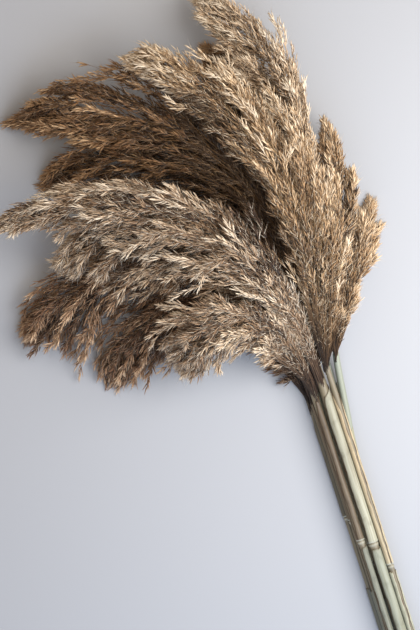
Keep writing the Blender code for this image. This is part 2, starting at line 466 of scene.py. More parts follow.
class Nodes:
    """A short way to lay out a material's nodes."""

    def __init__(self, name: str) -> None:
        """Starts a material that holds only a Principled shader and its output.

        Args:
            name: the material's name.
        """
        self.material = bpy.data.materials.new(name)
        self.material.use_nodes = True
        self.tree = self.material.node_tree
        self.shader = self.tree.nodes["Principled BSDF"]

    def add(self, kind: str, **settings: object) -> bpy.types.Node:
        """Adds a node and sets its properties.

        Args:
            kind: the node's type without the ShaderNode prefix.
            **settings: the node's own properties.

        Returns:
            The node.
        """
        node = self.tree.nodes.new("ShaderNode" + kind)
        for key, value in settings.items():
            setattr(node, key, value)
        return node

    def link(self, source: Socket, target: Socket) -> None:
        """Links a source socket to a target socket."""
        self.tree.links.new(source, target)

    def ramp(self, source: Socket, stops: list[tuple[float, Colour]]) -> Socket:
        """A colour ramp with smooth steps between stops.

        Args:
            source: the factor.
            stops: (place, colour) pairs in rising order.

        Returns:
            The ramp's colour socket.
        """
        node = self.add("ValToRGB")
        node.color_ramp.interpolation = "EASE"
        elements = node.color_ramp.elements
        while len(elements) < len(stops):
            elements.new(0.5)
        for element, (place, colour) in zip(elements, stops):
            element.position = place
            element.color = (*colour, 1.0)
        self.link(source, node.inputs["Fac"])
        return node.outputs["Color"]

    def mask(self, source: Socket, start: float, end: float, levels: tuple[float, float]) -> Socket:
        """A grey ramp: the first level up to start, and the second from end on."""
        return self.ramp(source, [(p, (level,) * 3) for p, level in zip((start, end), levels)])

    def math(self, operation: str, a: Socket, b: Socket | float) -> Socket:
        """One step of arithmetic between a socket and a socket or a number.

        Args:
            operation: the Math node's operation.
            a: the first value.
            b: the second value.

        Returns:
            The result's socket.
        """
        node = self.add("Math", operation=operation)
        self.link(a, node.inputs[0])
        if isinstance(b, Socket):
            self.link(b, node.inputs[1])
        else:
            node.inputs[1].default_value = b
        return node.outputs[0]

    def map_place(self) -> tuple[Socket, Socket]:
        """Reads the bake map.

        Returns:
            The sockets of its u and v.
        """
        place = self.add("UVMap", uv_map=BAKE_MAP)
        parts = self.add("SeparateXYZ")
        self.link(place.outputs["UV"], parts.inputs[0])
        return parts.outputs["X"], parts.outputs["Y"]

    def noise(self, u: Socket, v: Socket, scale: Place) -> Socket:
        """Noise over the map, stretched.

        Args:
            u: the map's u.
            v: the map's v.
            scale: how many lumps there are along u and along v, and the seed.

        Returns:
            The noise's socket, about 0.3 to 0.7.
        """
        spot = self.add("CombineXYZ")
        self.link(self.math("MULTIPLY", u, scale[0]), spot.inputs["X"])
        self.link(self.math("MULTIPLY", v, scale[1]), spot.inputs["Y"])
        spot.inputs["Z"].default_value = scale[2]
        node = self.add("TexNoise")
        node.inputs["Scale"].default_value = 1.0
        node.inputs["Detail"].default_value = 3.0
        self.link(spot.outputs["Vector"], node.inputs["Vector"])
        return node.outputs["Fac"]

    def blend(self, factor: Socket, a: Socket | Colour, b: Socket | Colour) -> Socket:
        """Mixes two colours, each a socket or a plain colour.

        Args:
            factor: how much of the second there is.
            a: the colour at factor 0.
            b: the colour at factor 1.

        Returns:
            The result's socket.
        """
        node = self.add("Mix", data_type="RGBA")
        self.link(factor, node.inputs["Factor"])
        for socket, colour in zip(node.inputs[6:8], (a, b)):
            if isinstance(colour, tuple):
                socket.default_value = (*colour, 1.0)
            else:
                self.link(colour, socket)
        return node.outputs[2]

    def dress(self, colour: Socket, roughness: float, specular: float) -> bpy.types.Material:
        """Gives the shader its colour and its shine.

        Args:
            colour: the colour's socket.
            roughness: the shader's roughness.
            specular: the shader's specular level.

        Returns:
            The material.
        """
        inputs = self.shader.inputs
        self.link(colour, inputs["Base Color"])
        inputs["Roughness"].default_value = roughness
        inputs["Specular IOR Level"].default_value = specular
        return self.material


def scaled(colour: Colour, share: float) -> Colour:
    """The colour with each part times the share."""
    return tuple(share * part for part in colour)


@dataclass(frozen=True)
class FluffFinish:
    """The colours of one plume's spikelets, twigs and hairs.

    The map's u picks the tint: twigs below 0.1, then spikelets from the dark
    ones deep inside to the pale ones outside, and silky hairs above 0.88. The
    dark end is partly the spikelets' own brown and partly painted shade deep in
    the plume. The map's v runs from a spikelet's base to its tip.
    """

    name: str
    deep: Colour
    middle: Colour
    pale: Colour
    tip: Colour
    hair: Colour
    twig: Colour

    def material(self) -> bpy.types.Material:
        """Builds the palette material.

        Returns:
            The material.
        """
        nodes = Nodes(self.name)
        tint, along = nodes.map_place()
        twig, hair = (0.06, self.twig), (0.9, self.hair)
        # Painted shade: the palette's low end falls to 0.35 of the deep colour.
        dark = (0.12, scaled(self.deep, 0.35))
        base = nodes.ramp(tint, [twig, dark, (0.45, self.deep), (0.85, self.middle), hair])
        outer = [(0.12, self.deep), (0.42, self.middle), (0.7, self.pale), (0.86, self.tip)]
        tips = nodes.ramp(tint, [twig, *outer, hair])
        rise = nodes.mask(along, 0.05, 0.75, (0.0, 1.0))
        nodes.shader.inputs["Sheen Weight"].default_value = 0.08
        nodes.shader.inputs["Sheen Roughness"].default_value = 0.5
        return nodes.dress(nodes.blend(rise, base, tips), 0.72, 0.2)


IVORY = (0.40, 0.385, 0.31)
UMBER = (0.085, 0.045, 0.025)
PITH = (0.42, 0.36, 0.24)


@dataclass(frozen=True)
class SheathFinish:
    """The colours of a dry leaf sheath: fine lengthwise fibres between its foot and its mouth."""

    name: str
    foot: Colour
    mouth: Colour
    fibre: Colour

    def material(self) -> bpy.types.Material:
        """Builds the sheath's material, with torn brown edges and a pale collar.

        Returns:
            The material.
        """
        nodes = Nodes(self.name)
        u, v = nodes.map_place()
        fibres = nodes.noise(u, v, (90.0, 3.0, 0.0))
        patches = nodes.noise(u, v, (7.0, 11.0, 4.0))
        body = nodes.ramp(v, [(0.05, self.foot), (0.9, self.mouth)])
        colour = nodes.blend(nodes.mask(fibres, 0.46, 0.64, (0.0, 0.8)), body, self.fibre)
        # Random darker patches of the fibre colour, darker towards the mouth.
        dark_patch_tone = nodes.ramp(v, [(0.0, scaled(self.fibre, 0.6)), (1.0, scaled(self.fibre, 0.45))])
        colour = nodes.blend(nodes.mask(patches, 0.54, 0.72, (0.0, 0.42)), colour, dark_patch_tone)
        edge = nodes.math("PINGPONG", nodes.math("ADD", u, 0.015), 0.25)
        ragged = nodes.math("ADD", edge, nodes.math("MULTIPLY", patches, 0.07))
        colour = nodes.blend(nodes.mask(ragged, 0.052, 0.066, (1.0, 0.0)), colour, UMBER)
        torn = nodes.math("ADD", v, nodes.math("MULTIPLY", fibres, 0.05))
        torn = nodes.math("MULTIPLY", torn, 0.95)
        colour = nodes.blend(nodes.mask(torn, 0.958, 0.97, (0.0, 0.85)), colour, UMBER)
        colour = nodes.blend(nodes.mask(v, 0.014, 0.02, (0.8, 0.0)), colour, IVORY)
        return nodes.dress(colour, 0.5, 0.4)


@dataclass(frozen=True)
class CulmFinish:
    """The colours of a culm: its bare lower and upper parts, with a pale ring at each joint and
    painted shade down the bore at its cut end.
    """

    name: str
    bare: Colour
    neck: Colour

    def material(self) -> bpy.types.Material:
        """Builds the culm's material, whose places along v are CULM_MARKS at the joints.

        Returns:
            The material.
        """
        nodes = Nodes(self.name)
        u, v = nodes.map_place()
        pale_bare, pale_neck = (
            tuple((a + 2 * b) / 3 for a, b in zip(colour, IVORY))
            for colour in (self.bare, self.neck)
        )
        # Painted shade: the bore's inside darkens to 0.4 of the pith colour deeper down; the rim is
        # plain pith.
        bore_shade_and_rim = [(0.012, scaled(PITH, 0.4)), (0.028, PITH), (0.034, PITH), (0.038, self.bare)]
        lower_ring = [
            (0.342, self.bare),
            (0.3445, scaled(self.bare, 0.7)),
            (0.3475, pale_bare),
            (0.3525, pale_bare),
            (0.355, scaled(self.bare, 0.7)),
        ]
        upper_ring = [
            (0.68, self.neck),
            (0.6945, scaled(self.neck, 0.75)),
            (0.6975, pale_neck),
            (0.7025, pale_neck),
            (0.7035, scaled(self.neck, 0.7)),
            (0.72, self.neck),
        ]
        fibres = nodes.noise(u, v, (46.0, 9.0, 1.0))
        mixed = nodes.add("Mix", data_type="RGBA", blend_type="MULTIPLY")
        mixed.inputs["Factor"].default_value = 1.0
        nodes.link(nodes.ramp(v, bore_shade_and_rim + lower_ring + upper_ring), mixed.inputs[6])
        streaks = nodes.ramp(fibres, [(0.35, (0.82, 0.82, 0.8)), (0.6, (1.0, 1.0, 1.0))])
        nodes.link(streaks, mixed.inputs[7])
        return nodes.dress(mixed.outputs[2], 0.45, 0.45)


# ---------------------------------------------------------------- stems

BORE_SHARE = 0.6
BORE_DEPTH = 34.0
SHEATH_GAP = 0.3
JOINT_CLEAR = 1.6
BARE_INSET = 0.2
BARE_SWELL = 0.3
LONG_NECK = 40.0
PLUME_GAP = 0.4
CULM_SIDES = 24
CULM_MARKS = (0.036, 0.35, 0.7, 0.99)
LOWER_RIDGE = (0.3, 0.75)
UPPER_RIDGE = (0.52, 0.7)
RIDGE_REACH = 2.4
SHEATH_SEED = 7000


def ring_round(centre: Array, radius: Array, angle: Array) -> Array:
    """Rings that stand across the stem.

    A point is the centre plus radius times (-cosine, 0, sine) of the angle,
    so angles turn anticlockwise as seen against +Y.

    Args:
        centre: (rings, 3).
        radius: (rings, sides) or what broadcasts to it.
        angle: (rings, sides) or what broadcasts to it.

    Returns:
        (rings, sides, 3) places.
    """
    x = -radius * np.cos(angle)
    z = radius * np.sin(angle)
    return centre[:, None] + np.stack([x, np.zeros_like(x), z], axis=-1)


def place_piece(piece: bpy.types.Object, node: str) -> bpy.types.Object:
    """Lets a finished piece ride on the bunch in place of its plain solid.

    Args:
        piece: the finished piece.
        node: the solid's name.

    Returns:
        The same piece.
    """
    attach(piece, "root")
    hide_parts(node)
    return piece


@dataclass(frozen=True)
class Culm:
    """One jointed stem, slim under its sheaths, stout where it's bare and bored at its cut end."""

    reed: Reed
    finish: CulmFinish

    def outside(self) -> tuple[Array, Array]:
        """The outside's profile, from the cut end up.

        The radius steps from stout to slim at the lower joint along the
        smooth step, and each joint adds a ridge that falls off as exp(-d^2).

        Returns:
            (N,) places along Y and (N,) radii.
        """
        reed = self.reed
        lower, upper = reed.joints
        slim, stout = reed.radius - SHEATH_WALL - SHEATH_GAP, reed.radius - BARE_INSET
        neck = reed.radius + BARE_SWELL if reed.neck - reed.upper_top > LONG_NECK else slim
        top = reed.neck - PLUME_GAP - neck * math.sin(math.radians(abs(reed.lean)))
        ridge = np.linspace(-RIDGE_REACH, RIDGE_REACH, 13)
        rim, shaft = reed.foot + np.array([0.12, 0.5]), np.linspace(reed.foot + 4, top - 1, 40)
        y = np.unique(np.concatenate([rim, shaft, lower + ridge, upper + ridge, [top]]))
        radius = stout + (slim - stout) * smooth_step((y - lower + 0.7) / 1.4)
        radius += (neck - slim) * smooth_step((y - reed.upper_top - 0.6) / 2.0)
        (low_rise, low_width), (high_rise, high_width) = LOWER_RIDGE, UPPER_RIDGE
        ridges = low_rise * np.exp(-(((y - lower) / low_width) ** 2))
        radius += ridges + high_rise * np.exp(-(((y - upper) / high_width) ** 2))
        radius *= 1 - 0.08 * smooth_step((y - top + 3) / 3)
        return y, radius

    def build(self) -> bpy.types.Object:
        """Makes the culm: up the bore's inside, out over the rim, then along the outside.

        Returns:
            The culm's object.
        """
        reed = self.reed
        y, radius = self.outside()
        bore = radius[0] * BORE_SHARE
        depth = BORE_DEPTH + 3 * (reed.number % 4)
        inside_y = reed.foot + np.array([depth, depth * 0.99, depth * 0.5, 0.6, 0.12])
        rim_radius = np.array([bore + 0.12, radius[0] - 0.14])
        all_y = np.concatenate([inside_y, [reed.foot] * 2, y])
        all_radius = np.concatenate([[bore * 0.96], [bore] * 4, rim_radius, radius])
        turn = 2 * np.pi * np.arange(CULM_SIDES) / CULM_SIDES
        rings = ring_round(stem_line(reed, all_y), all_radius[:, None], turn[None])
        ends = stem_line(reed, np.array([inside_y[0], y[-1]]))
        marks = [reed.foot, *reed.joints, y[-1]]
        inside_v = [0.0, 0.002, 0.004, 0.012, 0.02, 0.022, 0.026, 0.034]
        length_map = np.concatenate([inside_v, np.interp(y, marks, CULM_MARKS), [1.0]])
        loft = Loft(rings[None], ends[None], np.array([[0.0, 1.0]]), length_map)
        skin = object_from(f"culm_skin_{reed.number:02d}", [loft], self.finish.material())
        return place_piece(skin, f"culm_{reed.number:02d}")


class Level(Enum):
    """Which of a reed's two sheaths."""

    LOWER = "lower"
    UPPER = "upper"


@dataclass(frozen=True)
class LeafSheath:
    """A dry leaf's sheath: a sleeve round the culm, open along one side and torn at its mouth.

    Attributes:
        reed: whose sheath.
        level: which of the two.
        finish: its colours.
        tear: how far back its mouth is torn, in millimetres.
        gape: how many degrees its margins spread at the mouth.
    """

    reed: Reed
    level: Level
    finish: SheathFinish
    tear: float
    gape: float

    def span(self) -> tuple[float, float]:
        """Where the sheath lies along the stem.

        Returns:
            Its foot, just over a joint, and its mouth, as places along Y.
        """
        reed, lower = self.reed, self.level is Level.LOWER
        low, high = (reed.joints[0], reed.lower_top) if lower else (reed.joints[1], reed.upper_top)
        return low + JOINT_CLEAR, high

    def half_gap(self, v: Array, waves: Array) -> Array:
        """Half of the open side's angle: 15 degrees, two sine waves, and the gape with v^2.

        Args:
            v: places along the sheath, 0 to 1.
            waves: the sheath's own chances, 0 to 1.

        Returns:
            The angles, in radians.
        """
        wave = 5 * np.sin(2 * np.pi * (2.3 * v + waves[0]))
        wave = wave + 3 * np.sin(2 * np.pi * (7.1 * v + waves[1]))
        closed = 0.3 + 0.7 * smooth_step(v / 0.1)
        mouth = np.clip((v - 0.82) / 0.18, 0, 1) ** 2
        return np.radians((15 + wave) * closed + self.gape * mouth)

    def build(self) -> bpy.types.Object:
        """Makes the sleeve, each ring running round its outside and back round its inside.

        Returns:
            The sheath's object.
        """
        reed = self.reed
        low, high = self.span()
        seed = SHEATH_SEED + 10 * reed.number + (self.level is Level.UPPER)
        waves = np.random.default_rng(seed).uniform(0, 1, 6)
        rings, arc = 46, 17
        t = np.linspace(0, 1, rings)
        v = (0.65 * t + 0.35 * 0.5 * (1 - np.cos(np.pi * t)))[:, None]
        k = np.linspace(0, 1, arc)[None]
        gap = self.half_gap(v, waves)
        angle = math.radians(reed.slit) + gap + (2 * np.pi - 2 * gap) * k
        margin = np.abs(2 * k - 1)
        wall = SHEATH_WALL * (1 - 0.7 * margin**6)
        lift = 0.2 * margin**8 * (0.3 + 0.7 * v**2) + 0.1 * np.exp(-((v * (high - low) / 1.2) ** 2))
        ripple = 0.035 * np.sin(2 * np.pi * (5 * v + 2 * k + waves[2]))
        inner = reed.radius - SHEATH_WALL - 0.06 + lift + ripple
        slant = 0.5 + 0.5 * np.cos(2 * np.pi * (k + 0.12 * (waves[3] - 0.5)))
        jag = np.abs(np.sin(9 * k + 6 * waves[4]) + 0.6 * np.sin(23 * k + 6 * waves[5]))
        y = low + v * (high - low - self.tear * slant) - 0.9 * jag * v**12
        loop_angle = np.concatenate([angle, angle[:, ::-1]], axis=1)
        loop_radius = np.concatenate([inner + wall, inner[:, ::-1]], axis=1)
        loop_y = np.concatenate([y, y[:, ::-1]], axis=1)
        centre = stem_line(reed, loop_y.ravel()).reshape(rings, 2 * arc, 3)
        places = centre + ring_round(np.zeros((rings, 3)), loop_radius, loop_angle)
        length_map = np.concatenate([[0.0], 0.01 + 0.98 * v[:, 0], [1.0]])
        loft = Loft(places[None], None, np.array([[0.0, 1.0]]), length_map)
        which, number = self.level.value, f"{reed.number:02d}"
        leaf = object_from(f"{which}_leaf_{number}", [loft], self.finish.material())
        return place_piece(leaf, f"{which}_sheath_{number}")


CREAM = SheathFinish(
    "sheath_cream", (0.35, 0.345, 0.265), (0.285, 0.275, 0.21), (0.20, 0.18, 0.125)
)
TAN = SheathFinish("sheath_tan", (0.42, 0.36, 0.24), (0.48, 0.38, 0.235), (0.25, 0.18, 0.11))
BROWN = SheathFinish("sheath_brown", (0.13, 0.10, 0.065), (0.09, 0.065, 0.04), (0.05, 0.03, 0.017))
LIME = SheathFinish("sheath_lime", (0.33, 0.33, 0.255), (0.36, 0.355, 0.265), (0.23, 0.22, 0.155))
STRAW = SheathFinish("sheath_straw", (0.36, 0.31, 0.205), (0.27, 0.27, 0.19), (0.20, 0.165, 0.10))
OLIVE = SheathFinish("sheath_olive", (0.15, 0.125, 0.08), (0.19, 0.15, 0.095), (0.075, 0.05, 0.03))
# Darker copies of OLIVE and GLAUCOUS for the stems low on the left: partly their own dark tone,
# partly painted shade.
SHADED_OLIVE = SheathFinish(
    "sheath_shaded_olive", (0.095, 0.085, 0.06), (0.115, 0.10, 0.07), (0.05, 0.04, 0.025)
)
GLAUCOUS = SheathFinish(
    "sheath_glaucous", (0.155, 0.16, 0.127), (0.175, 0.18, 0.143), (0.115, 0.115, 0.083)
)
PALE_GLAUCOUS = SheathFinish(
    "sheath_pale_glaucous", (0.23, 0.24, 0.185), (0.25, 0.26, 0.205), (0.18, 0.175, 0.12)
)
SHADED_GLAUCOUS = SheathFinish(
    "sheath_shaded_glaucous", (0.10, 0.10, 0.08), (0.115, 0.115, 0.09), (0.07, 0.065, 0.048)
)
GREEN_CULM = CulmFinish("culm_green", (0.22, 0.235, 0.18), (0.25, 0.27, 0.215))
BROWN_CULM = CulmFinish("culm_brown", (0.19, 0.185, 0.14), (0.18, 0.15, 0.10))


@dataclass(frozen=True)
class StemLook:
    """One reed's finishes, and how its upper sheath is torn and gapes."""

    upper: SheathFinish
    lower: SheathFinish
    culm: CulmFinish = BROWN_CULM
    tear: float = 4.0
    gape: float = 22.0


STEM_LOOKS: dict[int, StemLook] = {
    1: StemLook(BROWN, GLAUCOUS, tear=3.0),
    2: StemLook(CREAM, PALE_GLAUCOUS, tear=5.0, gape=30.0),
    3: StemLook(TAN, LIME, tear=9.0, gape=60.0),
    4: StemLook(OLIVE, GLAUCOUS),
    5: StemLook(STRAW, GLAUCOUS),
    6: StemLook(TAN, PALE_GLAUCOUS),
    7: StemLook(STRAW, PALE_GLAUCOUS, GREEN_CULM, tear=8.0),
    # Reeds 8 and 9, low on the left, take the darker copies, which are partly painted shade.
    8: StemLook(SHADED_OLIVE, SHADED_GLAUCOUS, tear=14.0),
    9: StemLook(OLIVE, SHADED_GLAUCOUS),
    10: StemLook(STRAW, GLAUCOUS),
    11: StemLook(OLIVE, GLAUCOUS),
    12: StemLook(STRAW, LIME, GREEN_CULM, tear=6.0),
}


# ---------------------------------------------------------------- plumes

FLORET = np.array([[0.3, 1.0], [0.72, 0.62]])
SILK = np.array([[0.12, 1.0]])
PLUME_SEED = 4100
TABLE_STEPS = 161
COLLAR_STRANDS = 120
BRANCH_STEPS = 13
TWIG_STEPS = 5
TWIG_LEAST = 3.5
BRANCH_SWAY = np.array([4.0, 4.0, 1.6])
SWAY_REACH = 28.0
PAST_TIP = 160.0
NEAR = 60.0
HAIR_SHARE = 0.6
HAIR_WIDTH = 0.14
# Painted shade: a line in plan down the bunch's middle hollow, round which twigs get darker tints.
SHADE_HOLLOW = np.array(
    [[-1, 92], [-8, 110], [-12, 127], [-14, 145], [-14, 163], [-17, 184], [-21, 204]], float
)
SHADE_HOLLOW_WIDTH = 14.0
STRAY_SHARE = 0.12


@dataclass
class PlumeRoom:
    """The room that one plume fills, worked out once in tables along its midline."""

    reed: Reed
    shares: Array = field(init=False)
    line: Array = field(init=False)
    side: Array = field(init=False)
    left: Array = field(init=False)
    right: Array = field(init=False)
    depth: Array = field(init=False)

    def __post_init__(self) -> None:
        """Fills the tables: midline, side direction, reach each way, and half-depth."""
        self.shares = np.linspace(0.0, 1.0, TABLE_STEPS)
        self.line = plume_line(self.reed, self.shares)
        step = np.gradient(self.line, axis=0)
        self.side = unit(np.stack([step[:, 1], -step[:, 0]], axis=-1))
        others = self.neighbours()
        self.left = self.reach(-self.side, self.reed.breadth[0], others)
        self.right = self.reach(self.side, self.reed.breadth[1], others)
        self.depth = np.maximum(PLUME_DEPTH_SHARE * (self.left + self.right) / 2, PLUME_TIP)

    def neighbours(self) -> Array:
        """Points in plan along the other reeds of the same row.

        Returns:
            (M, 2) places.
        """
        mine = self.reed
        others = [other for other in REEDS if other.row is mine.row and other is not mine]
        lines = [plume_line(other, np.linspace(0, 1, 61)) for other in others]
        stems = [stem_line(other, other.neck - 2.0 * np.arange(20))[:, :2] for other in others]
        return np.concatenate(lines + stems)

    def reach(self, side: Array, widest: float, others: Array) -> Array:
        """How far the plume reaches to one side: its profile, cut to half of the room there.

        The profile is a sine rise to the widest place and a cosine taper after it.

        Args:
            side: (N, 2) the direction at each share.
            widest: the largest reach.
            others: (M, 2) the neighbours' places.

        Returns:
            (N,) reaches.
        """
        gap = others[None] - self.line[:, None]
        distance = np.linalg.norm(gap, axis=-1)
        beside = (gap * side[:, None]).sum(-1) > 0
        free = np.where(beside, distance, 2 * OPEN_ROOM + 2 * ROOM_GAP).min(axis=1)
        room = np.minimum(free / 2 - ROOM_GAP, OPEN_ROOM)
        s = self.shares
        rise = np.sin(0.5 * np.pi * np.minimum(s / PLUME_WIDEST, 1)) ** 0.9
        past = np.clip((s - PLUME_WIDEST) / (1 - PLUME_WIDEST), 0, 1)
        fall = np.maximum(np.cos(0.5 * np.pi * past), 0.0) ** self.reed.taper
        wanted = PLUME_TIP + (widest - PLUME_TIP) * np.where(s < PLUME_WIDEST, rise, fall)
        start = np.minimum(self.reed.radius - SHEATH_WALL, room)
        return np.maximum(np.minimum(wanted, room), start * (1 - s) ** 4)

    def table(self, values: Array, share: Array) -> Array:
        """Reads one table at any shares."""
        return np.interp(share, self.shares, values)

    def place(self, share: Array, across: Array, up: Array) -> Array:
        """From the plume's own parameters to a place.

        The place is the midline's point, plus across times the reach to that
        side, at the row's height there plus up times the plume's half-depth.

        Args:
            share: along the midline, 0 to 1.
            across: -1 at the left edge to 1 at the right edge.
            up: -1 at the underside to 1 at the top.

        Returns:
            (..., 3) places.
        """
        tables = (*self.line.T, *self.side.T, self.left, self.right, self.depth)
        x, y, side_x, side_y, left, right, depth = (self.table(t, share) for t in tables)
        reach = np.where(across > 0, right, left) * across
        x, y = x + side_x * reach, y + side_y * reach
        distance = np.hypot(x, y)
        room = row_depth(self.reed.row, distance)
        depth = np.minimum(room, depth)
        sag = self.reed.droop * share**4 + room - depth
        height = row_height(self.reed.row, distance) - sag + depth * up
        return np.stack([x, y, height], axis=-1)


@dataclass(frozen=True)
class Growth:
    """How one plume grows: how many branches, twigs and spikelets, and how they hang.

    Attributes:
        branches: side branches along the plume's own stalk.
        basal: slender extra branches that start at the neck and hug the stalk.
        twigs: twigs on each branch.
        florets: spikelets on each twig.
        twig_length: the longest twig.
        spread: angle of the twigs off their branch, in degrees.
        nod: how far branch ends hang, as a vector in plan and height.
        shade: how much darker the plume is at its base than at its tip, painted shade where the
            base lies deep in the bunch.
        tints: the lowest and highest place across the palette.
        curl: how far branches wave from side to side, in millimetres.
        ragged: how far loose strands hang down past the plume's foot, in millimetres.
    """

    branches: int
    basal: int = 26
    twigs: int = 10
    florets: int = 7
    twig_length: float = 17.0
    spread: float = 27.0
    nod: Place = (0.0, 0.0, 0.0)
    shade: float = 0.25
    tints: tuple[float, float] = (0.13, 0.85)
    curl: float = 1.5
    ragged: float = 3.0


@dataclass
class Plume:
    """One feathery flower head: a stalk, branches, twigs, spikelets and silky hairs."""

    reed: Reed
    growth: Growth
    finish: FluffFinish
    room: PlumeRoom = field(init=False)
    rng: np.random.Generator = field(init=False)

    def __post_init__(self) -> None:
        """Works out the room and seeds the plume's own chances."""
        self.room = PlumeRoom(self.reed)
        self.rng = np.random.default_rng(PLUME_SEED + self.reed.number)

    def stalk(self) -> Loft:
        """The stalk that the branches grow from.

        Its radius is a falling line plus exp(-share / 0.025), times the culm's.

        Returns:
            A tube along most of the midline.
        """
        share = 0.94 * np.linspace(0.0, 1.0, 30) ** 1.5
        path = self.room.place(share, np.zeros(30), np.zeros(30))
        thick = self.reed.radius - SHEATH_WALL - SHEATH_GAP
        radius = (0.24 + 0.6 * np.exp(-share / 0.025) - 0.16 * share) * thick
        return tubes(path[None], radius[None], 8, np.array([[0.01, 0.08]]))

    def collar(self) -> Loft:
        """Fine strands that spring from round the culm's top and hug the plume's lower part.

        A strand keeps its share of the way out from the midline all along,
        and the half-depth is held to the culm's own radius near the neck.

        Returns:
            The strands.
        """
        rng, reed = self.rng, self.reed
        count = COLLAR_STRANDS
        tau = np.linspace(0.0, 1.0, 9)[None]
        low = 0.05 * rng.uniform(0.0, 1.0, count) ** 2
        high = low + rng.uniform(0.08, 0.3, count)
        share = low[:, None] + (high - low)[:, None] * tau
        turn = GOLDEN * np.arange(count)[:, None] + 0.3 * tau * rng.normal(0, 1, count)[:, None]
        out = rng.uniform(0.8, 1.12, count)[:, None] * (1 - 0.12 * tau)
        paths = self.room.place(share, out * np.cos(turn), np.zeros_like(share))
        near = 1 - smooth_step(share / 0.08)
        depth = self.room.table(self.room.depth, share)
        room = row_depth(reed.row, np.hypot(paths[..., 0], paths[..., 1]))
        paths[..., 2] += np.maximum(depth, (reed.radius - SHEATH_WALL) * near) * out * np.sin(turn)
        paths[..., 2] += np.maximum(room - depth, 0.0) * near
        below = 2.5 + self.growth.ragged * rng.uniform(0, 1, (count, 1)) ** 2
        paths[:, 0] -= below * unit(paths[:, 1] - paths[:, 0])
        paths[:, 1:] += rng.normal(0, 0.35, paths[:, 1:].shape) * tau[..., 1:, None]
        radii = np.linspace(0.34, 0.08, 9)[None] * rng.uniform(0.6, 1.1, (count, 1))
        tint = rng.uniform(0.12, 0.74 - 0.03 * self.growth.ragged, count)
        return tubes(lifted(paths, LOWEST), radii, 3, np.stack([tint - 0.01, tint + 0.01], -1))

    def branch_starts(self) -> tuple[Array, Array, Array]:
        """Where the branches start and end, as shares, and how far out they reach.

        Returns:
            (B,) starts, (B,) ends and (B,) reaches, 1 at the plume's surface.
        """
        rng, grow = self.rng, self.growth
        count, basal = grow.branches, grow.basal
        start = 0.95 * (np.arange(count) + rng.uniform(0, 1, count)) / count
        length = (0.34 * (1 - start) ** 0.75 + 0.06) * rng.uniform(0.7, 1.25, count)
        end = np.minimum(start + length, 0.97 + 0.05 * rng.uniform(0, 1, count))
        out = np.sqrt(rng.uniform(0.22, 1.25, count))
        out = out * np.where(rng.uniform(0, 1, count) < STRAY_SHARE, 1.2, 1.0)
        low = 0.07 * rng.uniform(0.0, 1.0, basal) ** 2
        high = low + rng.uniform(0.1, 0.34, basal)
        hug = rng.uniform(0.6, 1.15, basal)
        return np.append(start, low), np.append(end, high), np.append(out, hug)

    def branch_paths(self) -> tuple[Array, Array, Array]:
        """Branches that leave the stalk and reach the plume's surface.

        At tau a branch has gone tau of its own length on, and stands tau^0.8
        of the way out, at a turn of so many golden angles round the stalk.

        Returns:
            (B, P, 3) paths, (B, P) how far out each point is, 0 to about 1,
            and (B, P) its share along the plume.
        """
        rng = self.rng
        start, end, out = self.branch_starts()
        count = len(start)
        turn = GOLDEN * np.arange(count) + rng.uniform(-0.5, 0.5, count)
        tau = np.linspace(0, 1, BRANCH_STEPS)[None]
        share = start[:, None] + (end - start)[:, None] * tau
        radial = out[:, None] * tau**0.8
        swing = turn[:, None] + 0.35 * tau * rng.normal(0, 1, count)[:, None]
        up = np.clip(radial * np.sin(swing), -1.0, 1.08)
        paths = self.room.place(np.minimum(share, 1.0), radial * np.cos(swing), up)
        past = np.maximum(share - 1.0, 0.0)[..., None]
        ahead = np.array([*heading_step(1.0, self.reed.heading), -0.15])
        sway = rng.normal(0, 1, (count, 1, 3)) * BRANCH_SWAY
        sway = sway + self.curls(tau, count)
        nod = np.array(self.growth.nod) * tau[..., None] ** 2 * rng.uniform(0.2, 1.5, (count, 1, 1))
        wide = np.minimum(self.local_reach(share)[..., None] / SWAY_REACH, 1.2)
        paths = paths + past * PAST_TIP * ahead + (sway * tau[..., None] ** 2 + nod) * wide
        return lifted(paths, LOWEST + 0.8), radial, share

    def curls(self, tau: Array, count: int) -> Array:
        """Waves along the branches: curl times sin(2 pi (1.4 tau + phase)), each its own way.

        Args:
            tau: (1, P) places along a branch, 0 to 1.
            count: how many branches.

        Returns:
            (B, P, 3) steps off the branches.
        """
        phase = self.rng.uniform(0, 1, (count, 1))
        way = self.rng.normal(0, 1, (count, 1, 3)) * np.array([1.0, 1.0, 0.5])
        return self.growth.curl * way * np.sin(2 * np.pi * (1.4 * tau + phase))[..., None]

    def local_reach(self, share: Array) -> Array:
        """The plume's mean half-width.

        Args:
            share: places along it, 0 to 1.

        Returns:
            Millimetres at each place.
        """
        share = np.minimum(share, 1.0)
        left, right = (self.room.table(t, share) for t in (self.room.left, self.room.right))
        return (left + right) / 2

    @staticmethod
    def along_paths(paths: Array, place: Array) -> tuple[Array, Array]:
        """Points and directions at places along several paths.

        Args:
            paths: (N, P, 3).
            place: (N, K) places, 0 to 1.

        Returns:
            (N, K, 3) points and (N, K, 3) unit directions.
        """
        last = paths.shape[1] - 1
        at = np.clip(place, 0, 1) * last
        low = np.minimum(at.astype(int), last - 1)
        row = np.arange(len(paths))[:, None]
        a, b = paths[row, low], paths[row, low + 1]
        return a + (b - a) * (at - low)[..., None], unit(b - a)

    @staticmethod
    def off_axis(along: Array, angle: Array, turn: Array) -> Array:
        """Directions at an angle off others, turned round them."""
        return along * np.cos(angle)[..., None] + around(along, turn) * np.sin(angle)[..., None]

    def past_neck(self, places: Array) -> Array:
        """0 at the neck and 1 from NEAR on, by distance in plan."""
        away = np.hypot(places[..., 0], places[..., 1] - self.reed.neck)
        return np.clip(away / NEAR, 0.0, 1.0)

